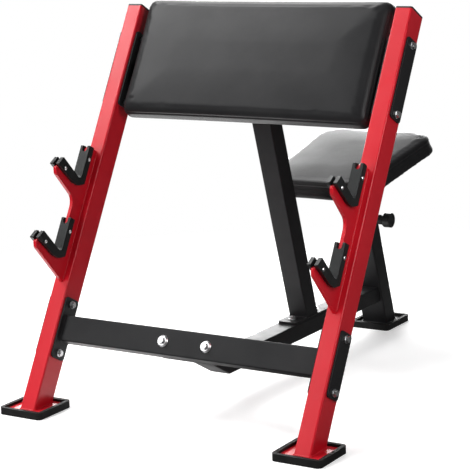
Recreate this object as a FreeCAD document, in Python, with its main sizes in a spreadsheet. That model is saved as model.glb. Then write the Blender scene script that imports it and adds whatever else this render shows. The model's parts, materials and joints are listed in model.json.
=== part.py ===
import FreeCAD, Part
import math
import os
import re
import Sketcher
from FreeCAD import Placement, Rotation, Vector

# Driving sizes in millimetres and degrees. A place is measured along the piece that carries it:
# up the front face of an upright from the floor, or back along the floor from where that face meets it.
SIZES = {
    # Clearances and the overrun of every cut
    "overrun": 5,
    "fit_gap": 0.3,
    "bolt_gap": 0.5,
    "thread_gap": 0.1,
    "running_gap": 0.05,
    # Uprights
    "span_width": 750,
    "upright_lean": 29.5,
    "upright_over": 154.5,
    "tube_width": 40,
    "tube_depth": 60,
    "tube_wall": 2,
    "tube_corner": 4,
    "cap_thickness": 4,
    "cap_plug": 20,
    # Feet
    "foot_width": 116,
    "foot_length": 116,
    "foot_lead": 22,
    "foot_plate": 5,
    "foot_plate_corner": 4,
    "rear_foot_width": 110,
    "rear_foot_length": 126,
    "shoe_height": 16.5,
    "shoe_sole": 5,
    "shoe_rim": 9,
    "shoe_corner": 11,
    # Bar hooks
    "hook_place": 370.5,
    "hook_pitch": 175,
    "hook_plate": 8,
    "valley_reach": 42.4,
    "hook_rise": 18,
    "brace_slope": 19.6,
    "brace_reach": 79,
    "brace_drop": 14.9,
    "horn_reach": 88,
    "horn_height": 0,
    "horn_length": 64,
    "hook_head": 85,
    "hook_bend": 12,
    "hook_web_bend": 28,
    "hook_tip_bend": 6,
    # Hook liners
    "liner_width": 25,
    "liner_slot": 8.6,
    "liner_notch": 15,
    "liner_notch_width": 12.5,
    "liner_nose_notch": 9,
    "liner_notch_bend": 5.5,
    "liner_base": 5,
    "liner_arm": 79.5,
    "liner_nose": 12.5,
    "liner_drop": 21.2,
    "liner_heel": 22.6,
    "liner_toe": 2.6,
    "liner_sole": 14.5,
    "liner_step": 4.5,
    "liner_back": 18,
    "liner_rise": 84,
    "liner_valley": 8,
    "liner_edge": 2,
    "liner_screw_radius": 2.5,
    "liner_screw_head": 4.5,
    "liner_screw_crown": 2.6,
    "liner_nut_across": 8,
    "liner_nut_height": 4,
    "liner_arm_screw": 63,
    "liner_arm_screw_height": 5.5,
    "liner_back_screw": 12,
    "liner_back_screw_height": 54,
    # Lower cross tube and the plates that clamp the cross members to the uprights
    "cross_place": 211.5,
    "cross_height": 60,
    "cross_depth": 35,
    "cross_wall": 2,
    "cross_corner": 3,
    "cross_bolt_spacing": 112,
    "flange_plate": 4,
    "flange_start": 6,
    "flange_depth": 53.5,
    "flange_corner": 8,
    "lower_flange_height": 142,
    "lower_bolt_spacing": 114.5,
    "upper_flange_height": 186,
    "upper_bolt_spacing": 159,
    # Fasteners
    "bolt_radius": 4,
    "bolt_head_across": 13,
    "bolt_head_height": 5.5,
    "bolt_tail": 1.5,
    "nut_height": 5,
    "washer_radius": 8.5,
    "wide_washer_radius": 13.5,
    "wide_washer_crown": 10.5,
    "wide_washer_height": 4,
    "washer_thickness": 2,
    "tee_radius": 10,
    "tee_flange": 1.5,
    "tee_barrel": 5.5,
    "tee_length": 9,
    # Arm pad and its cross bar
    "pad_bar_place": 846.5,
    "pad_bar_height": 60,
    "pad_bar_depth": 20,
    "pad_bar_front": 44,
    "pad_bar_wall": 2,
    "pad_bolt_across": 400,
    "pad_bolt_along": 32,
    "pad_bolt_bite": 10,
    "pad_rise": 31,
    "pad_side_gap": 11,
    "pad_height": 294.5,
    "pad_thickness": 50,
    "pad_edge": 24,
    "pad_corner": 20,
    "pad_crown": 4,
    "pad_draw": 1.5,
    "pad_board": 12,
    "pad_board_margin": 14,
    "pad_board_corner": 10,
    # Main beam
    "beam_width": 54,
    "beam_height": 40,
    "beam_wall": 2,
    "beam_corner": 3,
    "beam_top": 113,
    "beam_plate": 5,
    "beam_plate_width": 148,
    "beam_plate_corner": 6,
    # Centre post
    "post_place": 638,
    "post_top_drop": 12.85,
    "post_width": 50,
    "post_depth": 50,
    "post_wall": 2,
    "post_corner": 3,
    "post_plate": 6,
    "post_plate_width": 50,
    "post_plate_length": 164,
    "post_bolt_spacing": 108,
    "post_top_plate": 5,
    "post_top_width": 130,
    "post_top_height": 84,
    "post_top_spacing": 96,
    # Seat sleeve and the post that slides in it
    "sleeve_place": 1034,
    "sleeve_lean": 17.5,
    "sleeve_length": 350,
    "sleeve_width": 70,
    "sleeve_depth": 50,
    "sleeve_wall": 2,
    "sleeve_corner": 4,
    "bushing_flange": 4,
    "bushing_depth": 80,
    "seat_post_width": 60,
    "seat_post_depth": 40,
    "seat_post_wall": 2,
    "seat_post_corner": 3,
    "seat_post_foot": 125,
    "seat_plug_flange": 4,
    "seat_plug": 15,
    "hole_pitch": 25,
    "pin_place": 315,
    # Pull pin
    "pin_radius": 5,
    "pin_reach": 6,
    "pin_nose": 1.5,
    "pin_collar_radius": 8,
    "pin_collar": 3,
    "pin_seat": 0.3,
    "stem_radius": 4,
    "stem_bite": 15,
    "housing_radius": 12.5,
    "housing_length": 29,
    "housing_wall": 4,
    "chamber_radius": 8.6,
    "spring_radius": 7.5,
    "spring_wire": 1.2,
    "knob_gap": 1,
    "knob_length": 23,
    "knob_radius": 18.5,
    "knob_neck": 14.5,
    "knob_shoulder": 5,
    "knob_dish": 13,
    "knob_dish_depth": 1.2,
    # Seat
    "seat_place": 850,
    "seat_height": 477.9,
    "seat_tilt": 11.5,
    "seat_thickness": 51,
    "seat_back": 209.5,
    "seat_front": 180.5,
    "seat_back_width": 339,
    "seat_front_width": 292.5,
    "seat_back_corner": 56,
    "seat_front_corner": 85,
    "seat_edge": 15,
    "seat_crown": 4,
    "seat_draw": 1.5,
    "seat_board": 12,
    "seat_board_margin": 14,
    "seat_board_front_corner": 72,
    "seat_board_back_corner": 42,
    "seat_plate": 5,
    "seat_plate_width": 110,
    "seat_plate_length": 200,
    "seat_plate_corner": 10,
    "seat_bolt_across": 78,
    "seat_bolt_along": 160,
    "seat_bolt_bite": 10,
}

# Places worked out from the driving sizes
PLACES = {
    "plate_top": "shoe_sole + foot_plate",
    "front_line": "(foot_lead - sleeve_place - rear_foot_length / 2) / 2",
    "upright_x": "(span_width - tube_width) / 2",
    "upright_length": "pad_bar_place + upright_over",
    "inner_x": "span_width / 2 - tube_width",
    "bar_span": "span_width - 2 * tube_width - 2 * flange_plate",
    "beam_base": "beam_top - beam_height",
    "arm_low": "cross_place - beam_height / 2",
    "arm_high": "cross_place + beam_height / 2",
    "arm_start": "flange_depth + beam_plate",
    "pad_bar_rear": "pad_bar_front + pad_bar_depth",
    "pad_place": "pad_bar_place + pad_rise",
    "pad_width": "span_width - 2 * (tube_width + pad_side_gap)",
    "post_floor": "beam_top + post_plate",
    "post_behind": "post_place * cos(upright_lean) - (beam_top + post_plate) * sin(upright_lean)"
                   " - pad_bar_front - pad_bar_depth - post_top_plate",
    "post_foot_place": "post_place * sin(upright_lean) + (beam_top + post_plate) * cos(upright_lean)",
    "post_top_place": "pad_bar_place - post_top_drop",
    "post_tilt": "atan(post_behind / (post_top_place - post_foot_place)) / 1 deg",
    "post_lean": "post_tilt - upright_lean",
    "seat_drop": "seat_thickness + seat_plate",
    "seat_post_top": "(seat_height * cos(seat_tilt) + (sleeve_place - seat_place) * sin(seat_tilt)"
                     " - seat_thickness - seat_plate) / cos(sleeve_lean - seat_tilt)",
    "seat_middle": "(seat_back - seat_front) / 2",
    "seat_slope": "(seat_back_width - seat_front_width) / 2 / (seat_back + seat_front)",
    "seat_tuck": "seat_board_margin * sqrt(1 + seat_slope ^ 2)",
    "plate_brace": "liner_base + fit_gap",
    "pin_tip": "seat_post_width / 2 - seat_post_wall - pin_reach",
    "housing_end": "sleeve_width / 2 + housing_length",
    "knob_start": "sleeve_width / 2 + housing_length + knob_gap",
    "chamber_start": "sleeve_width / 2 + housing_wall",
    "chamber_end": "sleeve_width / 2 + housing_length - housing_wall",
}

# Local frames: where the origin stands on the side view, how far it tilts about X, and the turning axis
FRAMES = {
    "level": ("front_line", "0", "0", Vector(1, 0, 0)),
    "front": ("front_line", "0", "-upright_lean", Vector(-1, 0, 0)),
    "post": ("front_line + post_place", "post_floor", "post_lean", Vector(1, 0, 0)),
    "sleeve": ("front_line + sleeve_place", "0", "sleeve_lean", Vector(1, 0, 0)),
    "seat": ("front_line + seat_place", "seat_height", "seat_tilt", Vector(1, 0, 0)),
}

SIDES = {"left": "-", "right": ""}
HOOKS = {"lower": "hook_place", "upper": "hook_place + hook_pitch"}
JOINTS = {"lower": "cross_place", "upper": "pad_bar_place"}
# What lies under the nuts on the inner flanges: beside the arm pad there is no room for a washer
INNER_WASHERS = {"lower": "washer_thickness", "upper": "0"}
FLANGE_DEPTHS = {"lower": "flange_depth", "upper": "pad_bar_rear"}
HOLE_COUNT = 7
HEX_SIDES = 6
ALIGNED_SHARE = 0.999
TOUCHING = 0.001
# Radius of the cone that bevels a hexagon, at its seat and at its top, as shares of the corner radius
BEVEL_SHARES = (1.25, 0.88)
# Profile of a cushion: places up its wall, as shares of it, with how far in the wall is drawn there, as
# shares of the edge radius; how far the edge turns in degrees; and the part of the crown that is curved
PAD_WALL_SHARES = ((0, 0.14), (0.5, 0), (1, 0.04))
SEAT_WALL_SHARES = ((0, 0.16), (0.24, 0), (0.8, 0.3), (1, 0.3))
EDGE_TURN = 84
CROWN_SHARES = (0.06, 0.7)
PROFILE_POINTS = 160
SECTION_COUNT = 30

WORD = re.compile(r"[a-z_][a-z_]*")
X_AXIS = Vector(1, 0, 0)
Y_AXIS = Vector(0, 1, 0)
Z_AXIS = Vector(0, 0, 1)

doc = FreeCAD.newDocument("preacher_curl_bench")
nodes = []


def fill(name, table, led):
    """A sheet with one aliased cell for each value of the table."""
    sheet = doc.addObject("Spreadsheet::Sheet", name)
    for row, (alias, content) in enumerate(table.items(), 1):
        text = WORD.sub(lambda word: led.get(word.group(), "") + word.group(), str(content))
        sheet.set(f"A{row}", f"={text}" if isinstance(content, str) else text)
        sheet.setAlias(f"A{row}", alias)
    doc.recompute()
    return sheet


LED_BY_SIZES = {alias: "sizes." for alias in SIZES}
sizes = fill("sizes", SIZES, {})
places = fill("places", PLACES, LED_BY_SIZES)
LED = {**LED_BY_SIZES, **{alias: "places." for alias in PLACES}}


def bound(text):
    """The expression with each named value led by its sheet."""
    return WORD.sub(lambda word: LED.get(word.group(), "") + word.group(), text)


def number(text):
    return float(sizes.evalExpression(bound(text)))


def stand(piece, frame, x="0", y="0", z="0"):
    """Bind a piece's place to a point of a local frame."""
    origin_y, origin_z, tilt, axis = FRAMES[frame]
    turn = tilt.lstrip("-")
    piece.Placement = Placement(Vector(), Rotation(axis, number(turn)))
    if number(turn):
        piece.setExpression("Placement.Rotation.Angle", bound(turn))
    piece.setExpression("Placement.Base.x", bound(x))
    depth = f"{origin_y} + ({y}) * cos({tilt}) - ({z}) * sin({tilt})"
    height = f"{origin_z} + ({y}) * sin({tilt}) + ({z}) * cos({tilt})"
    piece.setExpression("Placement.Base.y", bound(depth))
    piece.setExpression("Placement.Base.z", bound(height))


def spot(frame, x, y, z, way):
    """Placement of a fastener in a local frame, its head pointing the given way."""
    origin_y, origin_z, tilt, _ = FRAMES[frame]
    seat = Placement(Vector(0, number(origin_y), number(origin_z)), Rotation(X_AXIS, number(tilt)))
    return seat.multiply(Placement(Vector(number(x), number(y), number(z)), Rotation(Z_AXIS, way)))


def new_body(label):
    body = doc.addObject("PartDesign::Body", label)
    body.Label = label
    nodes.append(body)
    return body


def new_shape(label, shape, placement=None):
    piece = doc.addObject("Part::Feature", label)
    piece.Label = label
    piece.Shape = shape
    if placement:
        piece.Placement = placement
    nodes.append(piece)
    return piece


def new_sketch(body, role):
    """A sketch on one of the body's own origin planes."""
    sketch = body.newObject("Sketcher::SketchObject", f"{body.Name}_sketch")
    plane = next(feature for feature in body.Origin.OriginFeatures if feature.Role == role)
    sketch.AttachmentSupport = [(plane, "")]
    sketch.MapMode = "FlatFace"
    return sketch


def pin_point(sketch, item, point, u, v):
    """Hold a point of the sketch at two expressions from its origin."""
    for kind, text in (("DistanceX", u), ("DistanceY", v)):
        index = sketch.addConstraint(Sketcher.Constraint(kind, -1, 1, item, point, number(text)))
        sketch.setExpression(f"Constraints[{index}]", bound(text))


def outline(sketch, corners):
    """A closed polygon through corners, each a pair of expressions."""
    spots = [Vector(number(u), number(v), 0) for u, v in corners]
    first = sketch.GeometryCount
    for start, end in zip(spots, spots[1:] + spots[:1]):
        sketch.addGeometry(Part.LineSegment(start, end), False)
    for step, (u, v) in enumerate(corners):
        following = first + (step + 1) % len(corners)
        sketch.addConstraint(Sketcher.Constraint("Coincident", first + step, 2, following, 1))
        pin_point(sketch, first + step, 1, u, v)


def circle(sketch, u, v, radius):
    item = sketch.addGeometry(Part.Circle(Vector(number(u), number(v), 0), Z_AXIS, number(radius)), False)
    pin_point(sketch, item, 3, u, v)
    index = sketch.addConstraint(Sketcher.Constraint("Radius", item, number(radius)))
    sketch.setExpression(f"Constraints[{index}]", bound(radius))


def rectangle(width, height):
    """Corners of a rectangle about the sketch's origin."""
    u, v = f"({width}) / 2", f"({height}) / 2"
    return [(f"-{u}", f"-{v}"), (u, f"-{v}"), (u, v), (f"-{u}", v)]


def pad(body, sketch, length, side="Symmetric", downwards=False):
    feature = body.newObject("PartDesign::Pad", f"{body.Name}_pad")
    feature.Profile = sketch
    feature.SideType = side
    feature.Reversed = downwards
    feature.setExpression("Length", bound(length))
    doc.recompute()


def pocket(body, sketch, length, side="Symmetric", upwards=False):
    before = body.Shape.Volume
    feature = body.newObject("PartDesign::Pocket", f"{body.Name}_pocket")
    feature.Profile = sketch
    feature.SideType = side
    feature.Reversed = upwards
    feature.setExpression("Length", bound(length))
    doc.recompute()
    if not body.Shape.Volume < before:
        raise RuntimeError(f"{body.Label}: a pocket cuts nothing")


def along(direction):
    """A test for straight edges that run in a direction."""
    def runs(edge):
        straight = edge.Curve.TypeId == "Part::GeomLine"
        return straight and abs(edge.Curve.Direction.dot(direction)) > ALIGNED_SHARE
    return runs


def edges_at(direction, corners):
    """A test for the edges that run in a direction through given corners of the outline."""
    runs = along(direction)

    def stands(edge):
        if not runs(edge):
            return False
        here = edge.Vertexes[0].Point
        here = here - direction * here.dot(direction)
        return any(here.distanceToPoint(corner) < TOUCHING for corner in corners)
    return stands


def across_at(corners):
    """A test for the edges across the piece at given corners of its side outline."""
    return edges_at(X_AXIS, [Vector(0, number(u), number(v)) for u, v in corners])


def round_edges(body, radius, wanted):
    base = body.Tip
    names = [f"Edge{index}" for index, edge in enumerate(base.Shape.Edges, 1) if wanted(edge)]
    feature = body.newObject("PartDesign::Fillet", f"{body.Name}_fillet")
    feature.Base = (base, names)
    feature.setExpression("Radius", bound(radius))
    doc.recompute()


def drill(body, role, spots, radius, length):
    """Round holes right through, square to one of the body's origin planes."""
    sketch = new_sketch(body, role)
    for u, v in spots:
        circle(sketch, u, v, radius)
    pocket(body, sketch, length)


def tube(label, corners, width, inner, inner_width, corner, run):
    """A hollow section: its side outline across the width, rounded along its run, then cored."""
    body = new_body(label)
    outside = new_sketch(body, "YZ_Plane")
    outline(outside, corners)
    pad(body, outside, width)
    round_edges(body, corner, along(run))
    core = new_sketch(body, "YZ_Plane")
    outline(core, inner)
    pocket(body, core, inner_width)
    return body


def plate(label, role, corners, thickness, corner, run, holes=(), radius="bolt_radius + bolt_gap"):
    """A flat piece about its middle plane, with rounded corners and round holes."""
    body = new_body(label)
    face = new_sketch(body, role)
    outline(face, corners)
    for u, v in holes:
        circle(face, u, v, radius)
    pad(body, face, thickness)
    round_edges(body, corner, along(run))
    return body


def turned(label, corners):
    """A round piece about the local X axis, from a half outline of lengths and radii."""
    body = new_body(label)
    half = new_sketch(body, "XY_Plane")
    outline(half, corners)
    feature = body.newObject("PartDesign::Revolution", f"{label}_turn")
    feature.Profile = half
    feature.ReferenceAxis = (half, ["H_Axis"])
    doc.recompute()
    return body


def square_tube(label, length, height, depth, wall):
    """A cross member along X."""
    outside = rectangle(depth, height)
    inner = rectangle(f"{depth} - 2 * {wall}", f"{height} - 2 * {wall}")
    return tube(label, outside, length, inner, f"{length} + 2 * overrun", "cross_corner", X_AXIS)


def hexagon(across, height):
    """A hexagon standing on the XY plane, bevelled at its top."""
    corner = across / math.sqrt(3)
    turn = 2 * math.pi / HEX_SIDES
    ring = [Vector(math.cos(turn * k), math.sin(turn * k), 0) * corner for k in range(HEX_SIDES + 1)]
    prism = Part.Face(Part.makePolygon(ring)).extrude(Vector(0, 0, height))
    seat_share, top_share = BEVEL_SHARES
    return prism.common(Part.makeCone(corner * seat_share, corner * top_share, height))


def rod(radius, length):
    """A round rod that hangs down from the XY plane."""
    return Part.makeCylinder(radius, length, Vector(), -Z_AXIS)


def bolt(length):
    head = hexagon(number("bolt_head_across"), number("bolt_head_height"))
    return head.fuse(rod(number("bolt_radius"), number(length))).removeSplitter()


def nut(across, height, bore):
    overrun = number("overrun")
    hole = Part.makeCylinder(bore, height + 2 * overrun, Vector(0, 0, -overrun))
    return hexagon(across, height).cut(hole)


def washer(radius, crown, height):
    """A ring on the XY plane that narrows to its crown."""
    low, high, tall = number(radius), number(crown), number(height)
    ring = Part.makeCone(low, high, tall) if low > high else Part.makeCylinder(low, tall)
    return ring.cut(Part.makeCylinder(number("bolt_radius + bolt_gap"), tall))


def tee_nut():
    """A flange on the XY plane with a threaded barrel below it."""
    flange = rod(number("tee_radius"), number("tee_flange"))
    flange.translate(Vector(0, 0, number("tee_flange")))
    barrel = rod(number("tee_barrel"), number("tee_length"))
    bore = rod(number("bolt_radius + thread_gap"), number("tee_length + tee_flange"))
    bore.translate(Vector(0, 0, number("tee_flange")))
    return flange.fuse(barrel).removeSplitter().cut(bore)


def pan_screw(length):
    """A screw whose domed head stands on the XY plane."""
    radius = number("liner_screw_head")
    crown = number("liner_screw_crown")
    ball = (radius ** 2 + crown ** 2) / (2 * crown)
    dome = Part.makeSphere(ball, Vector(0, 0, crown - ball))
    head = dome.common(Part.makeCylinder(radius, crown))
    return head.fuse(rod(number("liner_screw_radius"), length)).removeSplitter()


def group(label, placed):
    """Like fasteners in one node, from pairs of a shape and its placements."""
    solids = []
    for shape, spots in placed:
        for here in spots:
            copy = shape.copy()
            copy.Placement = here
            solids.append(copy)
    return new_shape(label, Part.makeCompound(solids))


def rounded_loop(corners, radii, draw, level):
    """A closed wire at a level: tangent corner arcs, and sides drawn in at their middles."""
    count = len(corners)
    rise = Vector(0, 0, level)
    centre = sum(corners, Vector()) / count
    arcs = []
    for step, radius in enumerate(radii):
        here = corners[step]
        back = (corners[step - 1] - here).normalize()
        onward = (corners[(step + 1) % count] - here).normalize()
        half = back.getAngle(onward) / 2
        reach = radius / math.tan(half)
        middle = here + (back + onward).normalize() * (radius / math.sin(half) - radius)
        arcs.append([point + rise for point in (here + back * reach, middle, here + onward * reach)])
    edges = []
    for arc, following in zip(arcs, arcs[1:] + arcs[:1]):
        start, end = arc[2], following[0]
        side = (end - start).normalize()
        middle = (start + end) / 2
        inward = centre + rise - middle
        inward = (inward - side * inward.dot(side)).normalize()
        edges.append(Part.Arc(*arc).toShape())
        edges.append(Part.Arc(start, middle + inward * draw, end).toShape())
    return Part.Wire(edges)


def inset_corners(half_back, half_front, back, front, inset):
    """Corners of a tapered outline, moved in by the inset."""
    slope = (half_back - half_front) / (back + front)
    tuck = inset * math.sqrt(1 + slope ** 2)
    rear_half = half_back - inset * slope - tuck
    fore_half = half_front + inset * slope - tuck
    rear, fore = back - inset, inset - front
    return [Vector(-fore_half, fore, 0), Vector(fore_half, fore, 0),
            Vector(rear_half, rear, 0), Vector(-rear_half, rear, 0)]


def drawn_in(wall_shares, share):
    """How far in a cushion's wall is at a share of its height, eased from place to place."""
    for (low, start), (high, end) in zip(wall_shares, wall_shares[1:]):
        if share <= high:
            ease = (1 - math.cos(math.pi * (share - low) / (high - low))) / 2
            return start + (end - start) * ease
    return wall_shares[-1][1]


def profile(thickness, edge, crown, narrow, wall_shares):
    """Levels and insets of a cushion's sections, evenly spaced from its back to its crown."""
    wall = thickness - crown - edge
    steps = [step / PROFILE_POINTS for step in range(PROFILE_POINTS + 1)]
    line = [(wall * share, edge * drawn_in(wall_shares, share)) for share in steps]
    tuck = line[-1][1]
    for share in steps[1:]:
        angle = math.radians(EDGE_TURN * share)
        line.append((wall + edge * math.sin(angle), tuck + edge * (1 - math.cos(angle))))
    start, end = CROWN_SHARES
    for share in steps:
        across = start + (end - start) * share
        line.append((thickness - crown * (1 - across) ** 2, tuck + edge + (narrow - tuck - edge) * across))
    run = [0]
    for before, after in zip(line, line[1:]):
        run.append(run[-1] + math.dist(before, after))
    sections = []
    for count in range(SECTION_COUNT + 1):
        goal = run[-1] * count / SECTION_COUNT
        nearest = min(range(len(line)), key=lambda index: abs(run[index] - goal))
        sections.append(line[nearest])
    return sections


def crowned(size, radii, wall_shares, thickness, edge, crown, draw):
    """A crowned pad lofted from its back on the XY plane up to its crown."""
    half_back, half_front, back, front = size
    narrow = min(half_back, half_front, (back + front) / 2)
    loops = []
    for level, inset in profile(thickness, edge, crown, narrow, wall_shares):
        left_share = 1 - inset / narrow
        own = [radius * left_share for radius in radii]
        loops.append(rounded_loop(inset_corners(*size, inset), own, draw * left_share, level))
    return Part.makeLoft(loops, True, False)


def recess(size, radii, margin, depth):
    """The room that a cushion leaves for its board and the flanges on it."""
    gap, overrun = number("fit_gap"), number("overrun")
    corners = inset_corners(*size, margin - gap)
    block = Part.Face(Part.makePolygon(corners + corners[:1])).extrude(Vector(0, 0, depth + gap + overrun))
    for radius in sorted(set(radii)):
        wanted = [corner for corner, own in zip(corners, radii) if own == radius]
        test = edges_at(Z_AXIS, wanted)
        block = block.makeFillet(radius, [edge for edge in block.Edges if test(edge)])
    block.translate(Vector(0, 0, -overrun))
    return block


def uprights():
    low_front = "plate_top / cos(upright_lean)"
    low_back = "(plate_top + tube_depth * sin(upright_lean)) / cos(upright_lean)"
    corners = [("0", low_front), ("tube_depth", low_back),
               ("tube_depth", "upright_length"), ("0", "upright_length")]
    inner = [("tube_wall", "-overrun"), ("tube_depth - tube_wall", "-overrun"),
             ("tube_depth - tube_wall", "upright_length + overrun"),
             ("tube_wall", "upright_length + overrun")]
    bolts = []
    for level, place in JOINTS.items():
        for step in ("-", "+"):
            bolts.append(("tube_depth / 2", f"{place} {step} {level}_bolt_spacing / 2"))
    core_width = "tube_width - 2 * tube_wall"
    for side, sign in SIDES.items():
        body = tube(f"{side}_upright", corners, "tube_width", inner, core_width, "tube_corner", Z_AXIS)
        drill(body, "YZ_Plane", bolts, "bolt_radius + bolt_gap", "tube_width + 2 * overrun")
        stand(body, "front", f"{sign}upright_x")


def caps():
    for side, sign in SIDES.items():
        body = new_body(f"{side}_upright_cap")
        top = new_sketch(body, "XY_Plane")
        outline(top, rectangle("tube_width", "tube_depth"))
        pad(body, top, "cap_thickness", "One side")
        round_edges(body, "tube_corner", along(Z_AXIS))
        plug = new_sketch(body, "XY_Plane")
        clearance = "2 * (tube_wall + fit_gap)"
        outline(plug, rectangle(f"tube_width - {clearance}", f"tube_depth - {clearance}"))
        pad(body, plug, "cap_plug", "One side", True)
        stand(body, "front", f"{sign}upright_x", "tube_depth / 2", "upright_length")


def foot(prefix, width, length, x, y):
    """A rubber shoe and the steel plate that lies in it."""
    shoe = new_body(f"{prefix}_foot_shoe")
    sole = new_sketch(shoe, "XY_Plane")
    outline(sole, rectangle(width, length))
    pad(shoe, sole, "shoe_height", "One side")
    round_edges(shoe, "shoe_corner", along(Z_AXIS))
    cavity = new_sketch(shoe, "XY_Plane")
    outline(cavity, rectangle(f"{width} - 2 * shoe_rim", f"{length} - 2 * shoe_rim"))
    cavity.setExpression("AttachmentOffset.Base.z", bound("shoe_sole"))
    pocket(shoe, cavity, "shoe_height", "One side", True)
    stand(shoe, "level", x, y)
    steel = rectangle(f"{width} - 2 * (shoe_rim + fit_gap)", f"{length} - 2 * (shoe_rim + fit_gap)")
    base = plate(f"{prefix}_foot_plate", "XY_Plane", steel, "foot_plate", "foot_plate_corner", Z_AXIS)
    stand(base, "level", x, y, "shoe_sole + foot_plate / 2")


def feet():
    for side, sign in SIDES.items():
        foot(side, "foot_width", "foot_length", f"{sign}upright_x", "foot_length / 2 - foot_lead")
    foot("rear", "rear_foot_width", "rear_foot_length", "0", "sleeve_place")


def hook_points(base):
    """Corners of one hook on the plate: brace end, horn foot, horn tip, horn root and valley."""
    inner = "-(valley_reach - plate_brace)"
    lower_edge = "plate_brace / cos(hook_rise)"
    return {
        "horn_foot": ("-(valley_reach + brace_reach)", f"{base} - brace_drop"),
        "horn_tip": ("-(valley_reach + horn_reach)", f"{base} + horn_height"),
        "horn_top": ("-(valley_reach + horn_length)",
                     f"{base} + horn_length * tan(hook_rise) - {lower_edge}"),
        "valley": (inner, f"{base} - plate_brace * tan(hook_rise) - {lower_edge}"),
        "web": (inner, f"{base} - brace_drop - (brace_reach + plate_brace) * tan(brace_slope)"),
        "face": ("0", f"{base} - brace_drop - (brace_reach + valley_reach) * tan(brace_slope)"),
    }


def liner_screw_spots(base):
    """Places of a liner's two screws on the side view."""
    return [("-(valley_reach + liner_arm_screw)", f"{base} + liner_arm_screw_height"),
            ("-(valley_reach - liner_back_screw)", f"{base} + liner_back_screw_height")]


def hooks():
    low, high = (hook_points(base) for base in HOOKS.values())
    head = "hook_place + hook_pitch + hook_head"
    inner = low["valley"][0]
    corners = [low["face"], low["horn_foot"], low["horn_tip"], low["horn_top"], low["valley"], high["web"],
               high["horn_foot"], high["horn_tip"], high["horn_top"], high["valley"],
               (inner, head), ("0", head)]
    screws = [spot for base in HOOKS.values() for spot in liner_screw_spots(base)]
    for side, sign in SIDES.items():
        body = new_body(f"{side}_hook_plate")
        side_view = new_sketch(body, "YZ_Plane")
        outline(side_view, corners)
        for u, v in screws:
            circle(side_view, u, v, "liner_screw_radius + fit_gap")
        pad(body, side_view, "hook_plate")
        round_edges(body, "hook_bend", across_at([low["horn_foot"], high["horn_foot"], (inner, head)]))
        round_edges(body, "hook_web_bend", across_at([high["web"]]))
        tips = [low["horn_tip"], low["horn_top"], high["horn_tip"], high["horn_top"]]
        round_edges(body, "hook_tip_bend", across_at(tips))
        stand(body, "front", f"{sign}upright_x")


def liners():
    arm_top = "liner_arm * tan(hook_rise)"
    arm_end = "liner_arm + liner_nose + overrun"
    gap = "liner_arm - liner_nose_notch"
    base_line = "liner_base / cos(hook_rise)"
    back_end = "-valley_reach + liner_back + overrun"
    inner = "-(valley_reach - liner_base)"
    for level, base in HOOKS.items():
        valley = ("-valley_reach", base)
        nose = ("-(valley_reach + liner_arm)", f"{base} + {arm_top}")
        chin = ("-(valley_reach + liner_arm + liner_nose)", f"{base} + {arm_top} - liner_drop")
        heel = ("-(valley_reach + liner_heel)", f"{base} - liner_sole")
        toe = ("-(valley_reach + liner_toe)", f"{base} - liner_sole")
        step = ("-(valley_reach - liner_back)", f"{base} - liner_step")
        back = ("-(valley_reach - liner_back)", f"{base} + liner_rise")
        brow = ("-valley_reach", f"{base} + liner_rise")
        notch_floor = f"{base} + liner_rise - liner_notch"
        slot = [(inner, f"{base} - liner_base * tan(hook_rise) - {base_line}"),
                (f"-(valley_reach + {gap})", f"{base} + ({gap}) * tan(hook_rise) - {base_line}"),
                (f"-(valley_reach + {gap})", f"{base} + {arm_top} + overrun"),
                (f"-(valley_reach + {arm_end})", f"{base} + {arm_top} + overrun"),
                (f"-(valley_reach + {arm_end})", f"{base} - liner_sole - overrun"),
                (back_end, f"{base} - liner_sole - overrun"),
                (back_end, f"{base} + liner_rise + overrun"), (inner, f"{base} + liner_rise + overrun")]
        opening = [("-(valley_reach + overrun)", notch_floor), (inner, notch_floor),
                   (inner, f"{base} + liner_rise + overrun"),
                   ("-(valley_reach + overrun)", f"{base} + liner_rise + overrun")]
        for side, sign in SIDES.items():
            body = new_body(f"{side}_{level}_hook_liner")
            side_view = new_sketch(body, "YZ_Plane")
            outline(side_view, [valley, nose, chin, heel, toe, step, back, brow])
            for u, v in liner_screw_spots(base):
                circle(side_view, u, v, "liner_screw_radius + fit_gap")
            pad(body, side_view, "liner_width")
            round_edges(body, "liner_valley", across_at([valley, heel]))
            round_edges(body, "liner_edge", across_at([nose, chin, toe, step, back, brow]))
            notch = new_sketch(body, "YZ_Plane")
            outline(notch, opening)
            pocket(body, notch, "liner_notch_width")
            half, floor = number("liner_notch_width / 2"), number(notch_floor)
            notch_corners = [Vector(-half, 0, floor), Vector(half, 0, floor)]
            round_edges(body, "liner_notch_bend", edges_at(Y_AXIS, notch_corners))
            straddle = new_sketch(body, "YZ_Plane")
            outline(straddle, slot)
            pocket(body, straddle, "liner_slot")
            stand(body, "front", f"{sign}upright_x")


def liner_fasteners():
    length = number("liner_width + liner_nut_height")
    screws, nuts = [], []
    for sign in SIDES.values():
        for base in HOOKS.values():
            for u, v in liner_screw_spots(base):
                screws.append(spot("front", f"{sign}upright_x + liner_width / 2", u, v, X_AXIS))
                nuts.append(spot("front", f"{sign}upright_x - liner_width / 2", u, v, -X_AXIS))
    group("hook_liner_screws", [(pan_screw(length), screws)])
    bore = number("liner_screw_radius + thread_gap")
    shape = nut(number("liner_nut_across"), number("liner_nut_height"), bore)
    group("hook_liner_nuts", [(shape, nuts)])


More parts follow.
